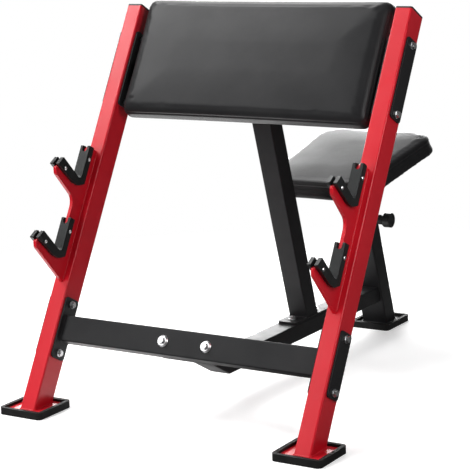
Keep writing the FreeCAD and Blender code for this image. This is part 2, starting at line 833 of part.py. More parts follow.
def flange(label, level, depth, x):
    """A clamping plate against the side of an upright, bolted through the middle of the tube."""
    height, spacing = f"{level}_flange_height", f"{level}_bolt_spacing"
    low, high = f"-{height} / 2", f"{height} / 2"
    start = "flange_start"
    corners = [(start, low), (depth, low), (depth, high), (start, high)]
    holes = [("tube_depth / 2", f"-{spacing} / 2"), ("tube_depth / 2", f"{spacing} / 2")]
    body = plate(label, "YZ_Plane", corners, "flange_plate", "flange_corner", X_AXIS, holes)
    stand(body, "front", x, "0", JOINTS[level])


def cross_members():
    outer_x = "(span_width + flange_plate) / 2"
    inner_x = "(inner_x - flange_plate / 2)"
    lower = square_tube("lower_cross_tube", "bar_span", "cross_height", "cross_depth", "cross_wall")
    spots = [("-cross_bolt_spacing / 2", "0"), ("cross_bolt_spacing / 2", "0")]
    drill(lower, "XZ_Plane", spots, "bolt_radius + bolt_gap", "cross_depth + 2 * overrun")
    stand(lower, "front", "0", "flange_depth - cross_depth / 2", "cross_place")
    upper = square_tube("pad_cross_bar", "bar_span", "pad_bar_height", "pad_bar_depth", "pad_bar_wall")
    spots = rectangle("pad_bolt_across", "pad_bolt_along")
    drill(upper, "XZ_Plane", spots, "bolt_radius + bolt_gap", "pad_bar_depth + 2 * overrun")
    behind = new_sketch(upper, "XZ_Plane")
    for u in ("-post_top_spacing / 2", "post_top_spacing / 2"):
        circle(behind, u, "0", "bolt_radius + bolt_gap")
    pocket(upper, behind, "pad_bar_depth", "One side")
    stand(upper, "front", "0", "pad_bar_rear - pad_bar_depth / 2", "pad_bar_place")
    for side, sign in SIDES.items():
        for level in JOINTS:
            flange(f"{side}_{level}_flange", level, FLANGE_DEPTHS[level], f"{sign}{inner_x}")
            flange(f"{side}_{level}_backing_plate", level, "flange_depth", f"{sign}{outer_x}")


def beam():
    holes = [("-cross_bolt_spacing / 2", "0"), ("cross_bolt_spacing / 2", "0")]
    shape = rectangle("beam_plate_width", "cross_height")
    face = plate("beam_front_plate", "XZ_Plane", shape, "beam_plate", "beam_plate_corner", Y_AXIS, holes)
    stand(face, "front", "0", "flange_depth + beam_plate / 2", "cross_place")

    def knee_depth(low, base):
        return f"(({low}) * cos(upright_lean) - ({base})) / sin(upright_lean)"

    def knee_place(low, base):
        return f"(({low}) - ({base}) * cos(upright_lean)) / sin(upright_lean)"

    def rear_end(height):
        return f"sleeve_place - (sleeve_depth / 2 + ({height}) * sin(sleeve_lean)) / cos(sleeve_lean)"
    low, high, base, top = "arm_low", "arm_high", "beam_base", "beam_top"
    low_in, high_in, base_in, top_in = (f"{low} + beam_wall", f"{high} - beam_wall",
                                        f"{base} + beam_wall", f"{top} - beam_wall")
    core_width = "beam_width - 2 * beam_wall"
    arm = [("arm_start", low), (knee_depth(low, base), low),
           (knee_depth(high, top), high), ("arm_start", high)]
    arm_core = [("arm_start - overrun", low_in), (f"{knee_depth(low_in, base_in)} + overrun", low_in),
                (f"{knee_depth(high_in, top_in)} + overrun", high_in), ("arm_start - overrun", high_in)]
    front = tube("beam_front_arm", arm, "beam_width", arm_core, core_width, "beam_corner", Y_AXIS)
    stand(front, "front")
    run = [(knee_place(low, base), base), (rear_end(base), base),
           (rear_end(top), top), (knee_place(high, top), top)]
    run_core = [(f"{knee_place(low_in, base_in)} - overrun", base_in),
                (f"{rear_end(base_in)} + overrun", base_in), (f"{rear_end(top_in)} + overrun", top_in),
                (f"{knee_place(high_in, top_in)} - overrun", top_in)]
    rear = tube("main_beam", run, "beam_width", run_core, core_width, "beam_corner", Y_AXIS)
    spots = [("0", "post_place - post_bolt_spacing / 2"), ("0", "post_place + post_bolt_spacing / 2")]
    drill(rear, "XY_Plane", spots, "bolt_radius + bolt_gap", "2 * beam_top + 2 * overrun")
    stand(rear, "level")


def centre_post():
    holes = [("0", "-post_bolt_spacing / 2"), ("0", "post_bolt_spacing / 2")]
    shape = rectangle("post_plate_width", "post_plate_length")
    base = plate("post_base_plate", "XY_Plane", shape, "post_plate", "beam_plate_corner", Z_AXIS, holes)
    stand(base, "level", "0", "post_place", "beam_top + post_plate / 2")
    holes = [("-post_top_spacing / 2", "pad_bar_place - post_top_place"),
             ("post_top_spacing / 2", "pad_bar_place - post_top_place")]
    shape = rectangle("post_top_width", "post_top_height")
    top = plate("post_top_plate", "XZ_Plane", shape, "post_top_plate", "beam_plate_corner", Y_AXIS, holes)
    stand(top, "front", "0", "pad_bar_rear + post_top_plate / 2", "post_top_place")

    def low_end(depth):
        return f"-({depth}) * tan(post_lean)"

    def high_end(depth):
        return f"(post_behind + ({depth}) * cos(post_tilt)) / sin(post_tilt)"
    front, back = "-post_depth / 2", "post_depth / 2"
    front_in, back_in = f"{front} + post_wall", f"{back} - post_wall"
    corners = [(front, low_end(front)), (back, low_end(back)),
               (back, high_end(back)), (front, high_end(front))]
    core = [(front_in, f"{low_end(front_in)} - overrun"), (back_in, f"{low_end(back_in)} - overrun"),
            (back_in, f"{high_end(back_in)} + overrun"), (front_in, f"{high_end(front_in)} + overrun")]
    core_width = "post_width - 2 * post_wall"
    post = tube("centre_post", corners, "post_width", core, core_width, "post_corner", Z_AXIS)
    stand(post, "post")


def seat_column():
    def foot_end(depth):
        return f"(plate_top - ({depth}) * sin(sleeve_lean)) / cos(sleeve_lean)"
    front, back = "-sleeve_depth / 2", "sleeve_depth / 2"
    front_in, back_in = f"{front} + sleeve_wall", f"{back} - sleeve_wall"
    top = "sleeve_length"
    corners = [(front, foot_end(front)), (back, foot_end(back)), (back, top), (front, top)]
    core = [(front_in, f"{foot_end(front_in)} - overrun"), (back_in, f"{foot_end(back_in)} - overrun"),
            (back_in, f"{top} + overrun"), (front_in, f"{top} + overrun")]
    core_width = "sleeve_width - 2 * sleeve_wall"
    sleeve = tube("seat_sleeve", corners, "sleeve_width", core, core_width, "sleeve_corner", Z_AXIS)
    pin_hole(sleeve, "sleeve_width / 2", ["pin_place"])
    stand(sleeve, "sleeve")

    bushing = new_body("sleeve_bushing")
    bore = rectangle("seat_post_width + 2 * fit_gap", "seat_post_depth + 2 * fit_gap")
    rim = new_sketch(bushing, "XY_Plane")
    outline(rim, rectangle("sleeve_width", "sleeve_depth"))
    pad(bushing, rim, "bushing_flange", "One side")
    round_edges(bushing, "sleeve_corner", along(Z_AXIS))
    liner = new_sketch(bushing, "XY_Plane")
    outline(liner, rectangle("sleeve_width - 2 * sleeve_wall", "sleeve_depth - 2 * sleeve_wall"))
    pad(bushing, liner, "bushing_depth", "One side", True)
    opening = new_sketch(bushing, "XY_Plane")
    outline(opening, bore)
    pocket(bushing, opening, "2 * (bushing_depth + bushing_flange + overrun)")
    pin_hole(bushing, "sleeve_width / 2", ["pin_place - sleeve_length"])
    stand(bushing, "sleeve", "0", "0", "sleeve_length")


def pin_hole(body, depth, heights):
    """Holes for the pull pin in the wall on the right."""
    sketch = new_sketch(body, "YZ_Plane")
    for height in heights:
        circle(sketch, "0", height, "pin_radius + bolt_gap")
    pocket(body, sketch, f"{depth} + overrun", "One side", True)


def seat_support():
    def top_end(depth):
        return f"seat_post_top - ({depth}) * tan(sleeve_lean - seat_tilt)"
    front, back = "-seat_post_depth / 2", "seat_post_depth / 2"
    front_in, back_in = f"{front} + seat_post_wall", f"{back} - seat_post_wall"
    low = "seat_post_foot"
    corners = [(front, low), (back, low), (back, top_end(back)), (front, top_end(front))]
    core = [(front_in, f"{low} - overrun"), (back_in, f"{low} - overrun"),
            (back_in, f"{top_end(back_in)} + overrun"), (front_in, f"{top_end(front_in)} + overrun")]
    core_width = "seat_post_width - 2 * seat_post_wall"
    post = tube("seat_post", corners, "seat_post_width", core, core_width, "seat_post_corner", Z_AXIS)
    heights = [f"pin_place - {step} * hole_pitch" for step in range(HOLE_COUNT)]
    pin_hole(post, "seat_post_width / 2", heights)
    stand(post, "sleeve")

    plug = new_body("seat_post_plug")
    cap = new_sketch(plug, "XY_Plane")
    outline(cap, rectangle("seat_post_width", "seat_post_depth"))
    pad(plug, cap, "seat_plug_flange", "One side", True)
    round_edges(plug, "seat_post_corner", along(Z_AXIS))
    stem = new_sketch(plug, "XY_Plane")
    outline(stem, rectangle("seat_post_width - 2 * (seat_post_wall + fit_gap)",
                            "seat_post_depth - 2 * (seat_post_wall + fit_gap)"))
    pad(plug, stem, "seat_plug", "One side")
    stand(plug, "sleeve", "0", "0", "seat_post_foot")

    base = plate("seat_plate", "XY_Plane", rectangle("seat_plate_width", "seat_plate_length"), "seat_plate",
                 "seat_plate_corner", Z_AXIS, rectangle("seat_bolt_across", "seat_bolt_along"))
    stand(base, "seat", "0", "seat_middle", "-seat_thickness - seat_plate / 2")


def pull_pin():
    seat, tip, end = "chamber_start + pin_seat", "pin_tip", "knob_start + stem_bite"
    bore, stem_bore = "pin_radius + running_gap", "stem_radius + running_gap"
    start = "sleeve_width / 2"
    collar_end, collar = f"{seat} + pin_collar", "pin_collar_radius"
    coil_inside = "spring_radius - spring_wire"
    knob_end = "knob_start + knob_length"
    dish_floor = f"{knob_end} - knob_dish_depth"
    pieces = {
        "pull_pin_housing": [(start, bore), ("chamber_start", bore), ("chamber_start", "chamber_radius"),
                             ("chamber_end", "chamber_radius"), ("chamber_end", stem_bore),
                             ("housing_end", stem_bore), ("housing_end", "housing_radius"),
                             (start, "housing_radius")],
        "pull_pin": [(tip, "0"), (tip, "pin_radius - pin_nose"), (f"{tip} + pin_nose", "pin_radius"),
                     (seat, "pin_radius"), (seat, collar), (collar_end, collar),
                     (collar_end, "stem_radius"), (end, "stem_radius"), (end, "0")],
        "pull_pin_spring": [(collar_end, coil_inside), ("chamber_end", coil_inside),
                            ("chamber_end", "spring_radius"), (collar_end, "spring_radius")],
        "pull_pin_knob": [("knob_start", stem_bore), ("knob_start", "knob_neck"),
                          ("knob_start + knob_shoulder", "knob_radius"), (knob_end, "knob_radius"),
                          (knob_end, "knob_dish"), (dish_floor, "knob_dish - knob_dish_depth"),
                          (dish_floor, "0"), (end, "0"), (end, stem_bore)],
    }
    for label, corners in pieces.items():
        body = turned(label, corners)
        stand(body, "sleeve", "0", "0", "pin_place")


def arm_pad():
    half, tall = number("pad_width / 2"), number("pad_height / 2")
    size = (half, half, tall, tall)
    form = [number(name) for name in ("pad_thickness", "pad_edge", "pad_crown", "pad_draw")]
    soft = crowned(size, [number("pad_corner")] * 4, PAD_WALL_SHARES, *form)
    depth = number("pad_board + tee_flange")
    room = recess(size, [number("pad_board_corner")] * 4, number("pad_board_margin"), depth)
    new_shape("arm_pad_cushion", soft.cut(room), spot("front", "0", "pad_bar_front", "pad_place", -Y_AXIS))
    corners = rectangle("pad_bolt_across", "pad_bolt_along")
    holes = [(u, f"{v} + pad_bar_place - pad_place") for u, v in corners]
    shape = rectangle("pad_width - 2 * pad_board_margin", "pad_height - 2 * pad_board_margin")
    board = plate("arm_pad_board", "XZ_Plane", shape, "pad_board", "pad_board_corner", Y_AXIS, holes,
                  "tee_barrel + fit_gap")
    stand(board, "front", "0", "pad_bar_front - pad_board / 2", "pad_place")


def seat():
    halves = ("seat_back_width / 2", "seat_front_width / 2", "seat_back", "seat_front")
    size = [number(name) for name in halves]
    radii = [number("seat_front_corner")] * 2 + [number("seat_back_corner")] * 2
    form = [number(name) for name in ("seat_thickness", "seat_edge", "seat_crown", "seat_draw")]
    soft = crowned(size, radii, SEAT_WALL_SHARES, *form)
    radii = [number("seat_board_front_corner")] * 2 + [number("seat_board_back_corner")] * 2
    room = recess(size, radii, number("seat_board_margin"), number("seat_board + tee_flange"))
    new_shape("seat_cushion", soft.cut(room), spot("seat", "0", "0", "-seat_thickness", Z_AXIS))

    board = new_body("seat_board")
    fore, rear = "seat_board_margin - seat_front", "seat_back - seat_board_margin"
    fore_half = "seat_front_width / 2 + seat_board_margin * seat_slope - seat_tuck"
    rear_half = "seat_back_width / 2 - seat_board_margin * seat_slope - seat_tuck"
    corners = [(f"-({fore_half})", fore), (fore_half, fore), (rear_half, rear), (f"-({rear_half})", rear)]
    face = new_sketch(board, "XY_Plane")
    outline(face, corners)
    for u, v in rectangle("seat_bolt_across", "seat_bolt_along"):
        circle(face, u, f"{v} + seat_middle", "tee_barrel + fit_gap")
    pad(board, face, "seat_board")
    spots = [Vector(number(u), number(v), 0) for u, v in corners]
    round_edges(board, "seat_board_front_corner", edges_at(Z_AXIS, spots[:2]))
    round_edges(board, "seat_board_back_corner", edges_at(Z_AXIS, spots[2:]))
    stand(board, "seat", "0", "0", "-seat_thickness + seat_board / 2")


def frame_fasteners():
    nuts, washers, wide_washers = [], [], []
    flange_bolts = {level: [] for level in JOINTS}
    cross_bolts, base_bolts, top_bolts, pad_bolts = [], [], [], []
    for sign, outward in (("-", -X_AXIS), ("", X_AXIS)):
        for level, place in JOINTS.items():
            for step in ("-", "+"):
                height = f"{place} {step} {level}_bolt_spacing / 2"
                outside = f"{sign}(span_width / 2 + flange_plate)"
                seat = f"{sign}(span_width / 2 + flange_plate + washer_thickness)"
                inside = f"{sign}(inner_x - flange_plate - {INNER_WASHERS[level]})"
                if level == "lower":
                    face = f"{sign}(inner_x - flange_plate)"
                    washers.append(spot("front", face, "tube_depth / 2", height, -outward))
                washers.append(spot("front", outside, "tube_depth / 2", height, outward))
                flange_bolts[level].append(spot("front", seat, "tube_depth / 2", height, outward))
                nuts.append(spot("front", inside, "tube_depth / 2", height, -outward))
        across = f"{sign}cross_bolt_spacing / 2"
        front, back = "flange_depth - cross_depth", "arm_start"
        wide_washers.append(spot("front", across, front, "cross_place", -Y_AXIS))
        cross_bolts.append(spot("front", across, f"{front} - wide_washer_height", "cross_place", -Y_AXIS))
        washers.append(spot("front", across, back, "cross_place", Y_AXIS))
        nuts.append(spot("front", across, f"{back} + washer_thickness", "cross_place", Y_AXIS))
        along_beam = f"post_place + {sign}post_bolt_spacing / 2"
        washers.append(spot("level", "0", along_beam, "post_floor", Z_AXIS))
        base_bolts.append(spot("level", "0", along_beam, "post_floor + washer_thickness", Z_AXIS))
        washers.append(spot("level", "0", along_beam, "beam_base", -Z_AXIS))
        nuts.append(spot("level", "0", along_beam, "beam_base - washer_thickness", -Z_AXIS))
        across = f"{sign}post_top_spacing / 2"
        behind = "pad_bar_rear + post_top_plate"
        washers.append(spot("front", across, behind, "pad_bar_place", Y_AXIS))
        top_bolts.append(spot("front", across, f"{behind} + washer_thickness", "pad_bar_place", Y_AXIS))
        nuts.append(spot("front", across, "pad_bar_rear - pad_bar_wall", "pad_bar_place", -Y_AXIS))
    for u, v in rectangle("pad_bolt_across", "pad_bolt_along"):
        height = f"{v} + pad_bar_place"
        washers.append(spot("front", u, "pad_bar_rear", height, Y_AXIS))
        pad_bolts.append(spot("front", u, "pad_bar_rear + washer_thickness", height, Y_AXIS))
    end = "washer_thickness + nut_height + bolt_tail"
    reach = f"{end} + tube_width + 2 * flange_plate"
    group("flange_bolts", [(bolt(f"{reach} + {INNER_WASHERS[level]}"), spots)
                           for level, spots in flange_bolts.items()])
    reach = f"{end} + cross_depth + beam_plate + wide_washer_height"
    group("cross_tube_bolts", [(bolt(reach), cross_bolts)])
    group("post_base_bolts", [(bolt(f"{end} + post_plate + beam_height + washer_thickness"), base_bolts)])
    group("post_top_bolts", [(bolt(f"{end} + post_top_plate + pad_bar_wall"), top_bolts)])
    group("arm_pad_bolts", [(bolt("washer_thickness + pad_bar_depth + pad_bolt_bite"), pad_bolts)])
    shape = nut(number("bolt_head_across"), number("nut_height"), number("bolt_radius + thread_gap"))
    group("frame_nuts", [(shape, nuts)])
    flat = washer("washer_radius", "washer_radius", "washer_thickness")
    domed = washer("wide_washer_radius", "wide_washer_crown", "wide_washer_height")
    group("frame_washers", [(flat, washers), (domed, wide_washers)])


def cushion_fasteners():
    shape = tee_nut()
    front = "pad_bar_front - pad_board"
    spots = [spot("front", u, front, f"{v} + pad_bar_place", -Y_AXIS)
             for u, v in rectangle("pad_bolt_across", "pad_bolt_along")]
    group("arm_pad_tee_nuts", [(shape, spots)])
    corners = [(u, f"{v} + seat_middle") for u, v in rectangle("seat_bolt_across", "seat_bolt_along")]
    spots = [spot("seat", u, v, "seat_board - seat_thickness", Z_AXIS) for u, v in corners]
    group("seat_tee_nuts", [(shape, spots)])
    screws = [spot("seat", u, v, "-seat_drop", -Z_AXIS) for u, v in corners]
    group("seat_bolts", [(bolt("seat_plate + seat_bolt_bite"), screws)])


def write_parts():
    for item in doc.Objects:
        if "Invalid" in item.State or "Error" in item.State:
            raise RuntimeError(f"{item.Label}: {item.State}")
    os.makedirs("parts", exist_ok=True)
    for node in nodes:
        if node.Shape.isNull() or not node.Shape.isValid():
            raise RuntimeError(f"{node.Label}: shape is empty or not valid")
        node.Shape.exportStep(f"parts/{node.Label}.step")


uprights()
caps()
feet()
hooks()
liners()
liner_fasteners()
cross_members()
beam()
centre_post()
seat_column()
seat_support()
pull_pin()
arm_pad()
seat()
frame_fasteners()
cushion_fasteners()
doc.recompute()
write_parts()
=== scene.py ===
"""Looks of a preacher curl bench: finishes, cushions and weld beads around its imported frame."""

import json
import math

import bmesh
import bpy
from mathutils import Matrix, Vector


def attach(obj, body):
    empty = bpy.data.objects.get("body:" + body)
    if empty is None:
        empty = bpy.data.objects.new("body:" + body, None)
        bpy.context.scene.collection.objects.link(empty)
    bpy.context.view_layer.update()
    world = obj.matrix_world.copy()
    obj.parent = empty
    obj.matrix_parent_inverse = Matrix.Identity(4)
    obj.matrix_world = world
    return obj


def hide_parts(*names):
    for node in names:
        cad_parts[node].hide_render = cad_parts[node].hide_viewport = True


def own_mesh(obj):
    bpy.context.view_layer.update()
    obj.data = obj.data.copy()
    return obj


# Lengths are in metres and angles in degrees
X_AXIS = Vector((1, 0, 0))
Y_AXIS = Vector((0, 1, 0))
Z_AXIS = Vector((0, 0, 1))

# The leaning frame of the uprights and the arm pad
FRONT_LINE = -0.5375
UPRIGHT_LEAN = 29.5
PAD_PLACE = 0.8775
PAD_BACK = 0.044
PAD_THICKNESS = 0.050
# The tilted frame of the seat
SEAT_PLACE = 0.850
SEAT_HEIGHT = 0.4779
SEAT_TILT = 11.5
SEAT_THICKNESS = 0.051

# Cushion covers: their mesh and the cloth that swells
VOXEL = 0.0045
SHRINK = 0.001
HELD_DEPTH = 0.009
COVER_QUALITY = 5
COVER_MASS = 0.3
COVER_STIFFNESS = 15
COVER_BENDING = 2
PRESSURE = 4.0
SWELL_FRAMES = 20
SWELL_CAP = 0.0014
SINK_CAP = 0.0004
EVEN_FACTOR = 0.5
EVEN_ROUNDS = 3
FINER_LEVELS = 1
# Cushion covers: their seams
SEAM_DEPTH = 0.0020
SEAM_WIDTH = 0.0020
SEAM_RIDGE = 0.0001
RIDGE_SPREAD = 2.2
WALL_TURN = 0.7
WALL_BLEND = 0.35
PAD_SEAM = 0.0185
SEAT_SEAM = 0.020

# Weld beads
BEAD_RADIUS = 0.0021
BEAD_STEP = 0.0012
BEAD_RIPPLE = 0.0038
RIPPLE_SHARE = 0.13
BEAD_SIDES = 8
CORNER_STEPS = 4
# Welded sections: their places, half sides and corners
TUBE_BEND = 0.004
BAR_BEND = 0.003
PLATE_TOP = 0.010
UPRIGHT_X = 0.355
UPRIGHT_HALF_WIDTH = 0.020
UPRIGHT_HALF_DEPTH = 0.030
PLATE_HALF = 0.004
HOOK_START = 0.318
HOOK_END = 0.626
FLANGE_X = 0.331
BAR_HALF_HEIGHT = 0.030
CROSS_TUBE_PLACE = 0.2115
CROSS_TUBE_DEPTH = 0.036
CROSS_TUBE_HALF_DEPTH = 0.0175
PAD_BAR_PLACE = 0.8465
PAD_BAR_DEPTH = 0.054
PAD_BAR_HALF_DEPTH = 0.010
POST_LEAN = 16.3
POST_PLACE = 0.638
POST_FOOT = 0.119
POST_HALF = 0.025
POST_PLATE_DEPTH = 0.069
SLEEVE_LEAN = 17.5
SLEEVE_PLACE = 1.034
SLEEVE_HALF_WIDTH = 0.035
SLEEVE_HALF_DEPTH = 0.025
BEAM_HEIGHT = 0.093
BEAM_HALF_WIDTH = 0.027
BEAM_HALF_HEIGHT = 0.020
ARM_DEPTH = 0.0585
SEAT_PLATE = 0.005
SEAT_POST_HALF_WIDTH = 0.030
SEAT_POST_HALF_DEPTH = 0.020

# Rounding of the edges of plates and moulded pieces
EDGE_ANGLE = 35
EDGE_SEGMENTS = 2
JOIN_GAP = 1e-5

# Camera: fitted to the photograph, with its lens and sensor in millimetres
CAMERA_PLACE = Vector((2.01495, -3.34971, 1.15036))
CAMERA_YAW = 32.572
CAMERA_PITCH = 11.740
CAMERA_ROLL = -2.1155
CAMERA_LENS = 130.23
CAMERA_REACH = 60
SENSOR = 36.0

# Linear colours
RED = (0.620, 0.008, 0.020)
RED_DEEP = (0.560, 0.006, 0.016)
RED_EDGE = (0.740, 0.090, 0.100)
BLACK = (0.017, 0.017, 0.018)
BLACK_DEEP = (0.013, 0.013, 0.014)
BLACK_EDGE = (0.085, 0.085, 0.086)
PLASTIC = (0.010, 0.011, 0.011)
PLASTIC_PALE = (0.017, 0.019, 0.019)
RUBBER = (0.012, 0.012, 0.012)
RUBBER_PALE = (0.021, 0.021, 0.021)
ZINC = (0.780, 0.785, 0.800)
ZINC_PALE = (0.900, 0.900, 0.905)
VINYL = (0.015, 0.015, 0.016)
VINYL_PALE = (0.020, 0.020, 0.021)
BACKING = (0.012, 0.012, 0.013)
BACKING_PALE = (0.030, 0.030, 0.031)
FLOOR = (0.88, 0.88, 0.88)
FLOOR_PALE = (0.91, 0.91, 0.91)
CARD = (0.08, 0.08, 0.08)
WHITE = (1, 1, 1, 1)

# Finishes: rubbed and paler edges, and how the finer grain compares with the wide one
RUB_ROUGHNESS = 0.12
PALER_EDGE = 2.2
PEEL_FINER = 4
PEEL_SHALLOWER = 6
GRAIN_FINER = 2.5
GRAIN_SHALLOWER = 2
# Sockets of a mix node that carry colours
FIRST_COLOUR = 6
SECOND_COLOUR = 7
MIXED_COLOUR = 2

# Studio
FLOOR_REACH = 1.8
FLOOR_CELLS = 8
FLOOR_FADE = (0.9, 1.7)
FLOOR_GLOW = 0.4
FLOOR_SHINE = 1.1
FLOOR_DIM_SHARE = 0.45
CARD_RIGHT = (-0.30, 0.15)
CARD_FRONT = (-0.35, -0.60)
SCREEN_WAY = Vector((-0.53, 0.83, 0.15))
SCREEN_EDGE = (0.72, 0.94)
ROOM_GLOSS = 0.10
ROOM_LIGHT = 0.07
# Lamps: place, target, size and power in watts
LAMPS = {
    "key": ((-1.75, -0.85, 2.6), (0, -0.2, 0.5), (1.4, 1.4), 55),
    "fill": ((-1.2, -3.0, 0.9), (0, 0, 0.5), (1.6, 1.2), 44),
    "glint": ((-1.25, -2.0, 1.6), (0, -0.4, 0.2), (0.8, 0.8), 8),
    "rim": ((-1.6, 2.4, 0.85), (0, 0.1, 0.3), (2.2, 0.9), 90),
    "top": ((-1.2, 0.85, 2.7), (0, 0, 0.4), (1.4, 1.4), 45),
    "side": ((1.15, -0.75, 1.05), (0.35, -0.2, 0.6), (0.5, 0.8), 8),
}
# Lamps that don't show in glossy surfaces
UNMIRRORED = ("fill",)

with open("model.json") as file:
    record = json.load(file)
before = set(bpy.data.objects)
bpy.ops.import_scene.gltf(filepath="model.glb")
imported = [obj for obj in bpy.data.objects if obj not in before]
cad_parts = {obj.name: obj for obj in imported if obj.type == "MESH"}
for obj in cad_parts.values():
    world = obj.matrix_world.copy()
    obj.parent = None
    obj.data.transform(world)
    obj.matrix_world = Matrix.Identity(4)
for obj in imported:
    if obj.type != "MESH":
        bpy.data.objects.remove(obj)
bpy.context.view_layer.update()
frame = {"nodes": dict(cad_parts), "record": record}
scene = bpy.context.scene


def add_node(tree, kind, inputs=None, **settings):
    """A shader node whose inputs are linked where a socket is given, and set otherwise."""
    made = tree.nodes.new(kind)
    for key, value in settings.items():
        setattr(made, key, value)
    for key, value in (inputs or {}).items():
        if isinstance(value, bpy.types.NodeSocket):
            tree.links.new(value, made.inputs[key])
        else:
            made.inputs[key].default_value = value
    return made


class Finish:
    """A Principled material, with short calls for the nodes that feed it."""

    def __init__(self, name, **values):
        self.material = bpy.data.materials.new(name)
        self.material.use_nodes = True
        self.tree = self.material.node_tree
        self.surface = self.tree.nodes["Principled BSDF"]
        self.place = self.node("ShaderNodeTexCoord").outputs["Object"]
        for socket, value in values.items():
            self.surface.inputs[socket.replace("_", " ")].default_value = value

    def node(self, kind, inputs=None, **settings):
        return add_node(self.tree, kind, inputs, **settings)

    def feed(self, socket, source):
        self.tree.links.new(source, self.surface.inputs[socket])

    def noise(self, scale, detail=3.0):
        inputs = {"Vector": self.place, "Scale": scale, "Detail": detail}
        return self.node("ShaderNodeTexNoise", inputs).outputs["Fac"]

    def cells(self, scale):
        inputs = {"Vector": self.place, "Scale": scale}
        return self.node("ShaderNodeTexVoronoi", inputs, feature="SMOOTH_F1").outputs["Distance"]

    def ranged(self, source, low, high, start=0.3, end=0.7):
        inputs = {"Value": source, "From Min": start, "From Max": end, "To Min": low, "To Max": high}
        return self.node("ShaderNodeMapRange", inputs).outputs["Result"]

    def math(self, operation, first, second):
        return self.node("ShaderNodeMath", {0: first, 1: second}, operation=operation).outputs[0]

    def mixed(self, share, first, second):
        mix = self.node("ShaderNodeMix", {"Factor": share}, data_type="RGBA")
        for socket, colour in ((FIRST_COLOUR, first), (SECOND_COLOUR, second)):
            if isinstance(colour, bpy.types.NodeSocket):
                self.tree.links.new(colour, mix.inputs[socket])
            else:
                mix.inputs[socket].default_value = (*colour, 1.0)
        return mix.outputs[MIXED_COLOUR]

    def edges(self, radius, reach):
        """About 1 along sharp edges and 0 on flat faces."""
        rounded = self.node("ShaderNodeBevel", {"Radius": radius}, samples=6).outputs["Normal"]
        flat = self.node("ShaderNodeNewGeometry").outputs["Normal"]
        inputs = {0: rounded, 1: flat}
        turn = self.node("ShaderNodeVectorMath", inputs, operation="DOT_PRODUCT").outputs["Value"]
        return self.ranged(turn, low=1.0, high=0.0, start=1.0 - reach, end=1.0)

    def bumped(self, height, distance, strength=1.0, below=None):
        inputs = {"Height": height, "Distance": distance, "Strength": strength}
        if below:
            inputs["Normal"] = below
        return self.node("ShaderNodeBump", inputs).outputs["Normal"]


def coat(name, colour, deep, edge, roughness, peel, peel_depth, shine, gloss):
    """Powder coat: orange peel, uneven gloss and paler, slightly rubbed edges."""
    finish = Finish(name, IOR=1.5, Specular_IOR_Level=shine, Coat_Weight=gloss, Coat_Roughness=0.22)
    clouds = finish.ranged(finish.noise(scale=9.0), low=0.0, high=1.0)
    patches = finish.ranged(finish.noise(scale=70.0, detail=6.0), low=0.1, high=0.75)
    rub = finish.math("MULTIPLY", finish.edges(radius=0.0012, reach=0.25), patches)
    finish.feed("Base Color", finish.mixed(rub, finish.mixed(clouds, colour, deep), edge))
    worn = finish.ranged(finish.noise(scale=28.0, detail=5.0), *roughness)
    finish.feed("Roughness", finish.math("ADD", worn, finish.math("MULTIPLY", rub, RUB_ROUGHNESS)))
    wide = finish.bumped(finish.noise(scale=peel, detail=2.0), distance=peel_depth)
    fine = finish.noise(scale=peel * PEEL_FINER, detail=2.0)
    finish.feed("Normal", finish.bumped(fine, distance=peel_depth / PEEL_SHALLOWER, below=wide))
    return finish.material


def moulded(name, colour, pale, roughness, grain, depth, shine):
    """Moulded plastic or rubber: fine grain, slight scuffs and paler edges."""
    finish = Finish(name, IOR=1.48, Specular_IOR_Level=shine)
    scuffs = finish.ranged(finish.noise(scale=40.0, detail=6.0), low=0.0, high=0.8)
    patches = finish.ranged(finish.noise(scale=120.0, detail=4.0), low=0.2, high=0.9)
    rub = finish.math("MULTIPLY", finish.edges(radius=0.001, reach=0.3), patches)
    edge = tuple(PALER_EDGE * part for part in pale)
    finish.feed("Base Color", finish.mixed(rub, finish.mixed(scuffs, colour, pale), edge))
    finish.feed("Roughness", finish.ranged(finish.noise(scale=60.0, detail=5.0), *roughness))
    wide = finish.bumped(finish.cells(grain), distance=depth)
    fine = finish.noise(scale=grain * GRAIN_FINER)
    finish.feed("Normal", finish.bumped(fine, distance=depth / GRAIN_SHALLOWER, below=wide))
    return finish.material


def plated(name):
    """Bright zinc plate: cloudy tone and a faint grain."""
    finish = Finish(name, Metallic=1.0)
    clouds = finish.ranged(finish.noise(scale=160.0, detail=4.0), low=0.0, high=1.0)
    finish.feed("Base Color", finish.mixed(clouds, ZINC, ZINC_PALE))
    finish.feed("Roughness", finish.ranged(finish.noise(scale=240.0, detail=5.0), low=0.25, high=0.36))
    finish.feed("Normal", finish.bumped(finish.noise(scale=1500.0, detail=2.0), distance=0.00003))
    return finish.material


def vinyl(name):
    """Smooth stretched vinyl: fine leather grain, a soft sheen and slow changes of gloss."""
    finish = Finish(name, IOR=1.5, Specular_IOR_Level=0.19, Sheen_Weight=0.02, Sheen_Roughness=0.4)
    clouds = finish.ranged(finish.noise(scale=14.0, detail=4.0), low=0.0, high=1.0)
    finish.feed("Base Color", finish.mixed(clouds, VINYL, VINYL_PALE))
    slow = finish.ranged(finish.noise(scale=11.0), low=0.31, high=0.39)
    fine = finish.ranged(finish.noise(scale=420.0), low=-0.03, high=0.03)
    finish.feed("Roughness", finish.math("ADD", slow, fine))
    grain = finish.bumped(finish.cells(scale=780.0), distance=0.00012, strength=0.5)
    waves = finish.noise(scale=38.0, detail=2.0)
    finish.feed("Normal", finish.bumped(waves, distance=0.0006, strength=0.35, below=grain))
    return finish.material


